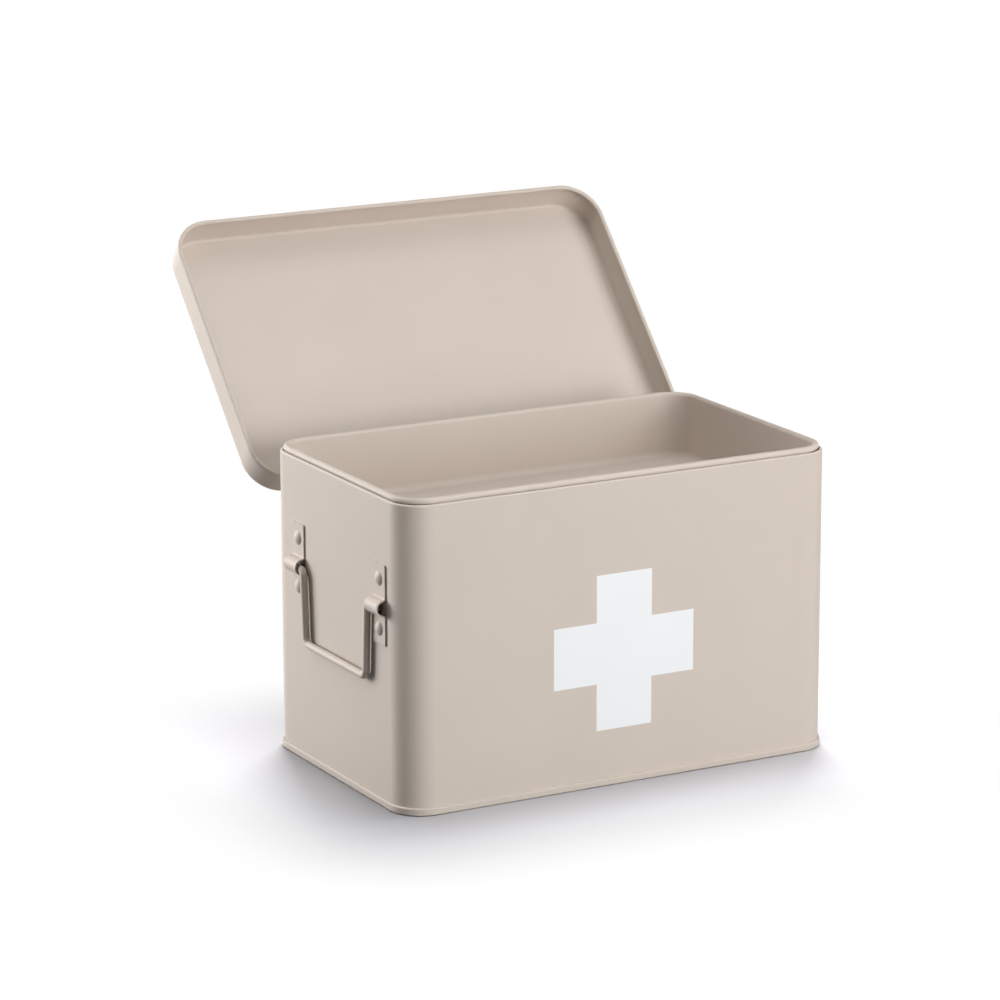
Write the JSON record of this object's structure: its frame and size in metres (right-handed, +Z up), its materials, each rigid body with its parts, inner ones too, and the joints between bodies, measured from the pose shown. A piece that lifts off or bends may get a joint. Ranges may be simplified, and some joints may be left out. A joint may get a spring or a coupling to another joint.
{
  "type": "medicine box",
  "caption": "Rectangular sheet steel medicine box with rounded corners, a hinged slip-over lid, a lift-out tray, bail handles on the ends and a white cross on the front.",
  "frame": {"origin": "on the floor, under the middle of the box without its lid", "axes": "+X along the front from left to right, +Y from front to back, +Z up"},
  "size_m": [0.3246, 0.3401, 0.3215],
  "materials": {
    "taupe_coat": "satin powder coat",
    "white_print": "satin print",
    "pin_steel": "zinc plated"
  },
  "bodies": {
    "box": {"body_shell": "taupe_coat", "base_pan": "taupe_coat", "cross_print": "white_print", "lift_out_tray": "taupe_coat", "left_front_bracket": "taupe_coat", "left_rear_bracket": "taupe_coat", "right_front_bracket": "taupe_coat", "right_rear_bracket": "taupe_coat", "left_front_bracket_rivets": "taupe_coat", "left_rear_bracket_rivets": "taupe_coat", "right_front_bracket_rivets": "taupe_coat", "right_rear_bracket_rivets": "taupe_coat", "left_hinge_body_leaf": "taupe_coat", "right_hinge_body_leaf": "taupe_coat", "left_hinge_body_rivets": "taupe_coat", "right_hinge_body_rivets": "taupe_coat", "left_hinge_pin": "pin_steel", "right_hinge_pin": "pin_steel"},
    "lid": {"lid_shell": "taupe_coat", "left_hinge_lid_leaf": "taupe_coat", "right_hinge_lid_leaf": "taupe_coat", "left_hinge_lid_rivets": "taupe_coat", "right_hinge_lid_rivets": "taupe_coat"},
    "left_handle": {"left_handle": "taupe_coat"},
    "right_handle": {"right_handle": "taupe_coat"}
  },
  "joints": [
    {"name": "lid_hinge", "type": "hinge", "parent": "box", "child": "lid", "pos_m": [0, 0.09633, 0.17887], "axis": [-1, 0, 0], "range_deg": [-132.7, 0]},
    {"name": "left_handle_swing", "type": "hinge", "parent": "box", "child": "left_handle", "pos_m": [-0.1582, -0.0042, 0.1283], "axis": [0, 1, 0], "range_deg": [0, 180]},
    {"name": "right_handle_swing", "type": "hinge", "parent": "box", "child": "right_handle", "pos_m": [0.1582, -0.0042, 0.1283], "axis": [0, -1, 0], "range_deg": [0, 180]}
  ]
}
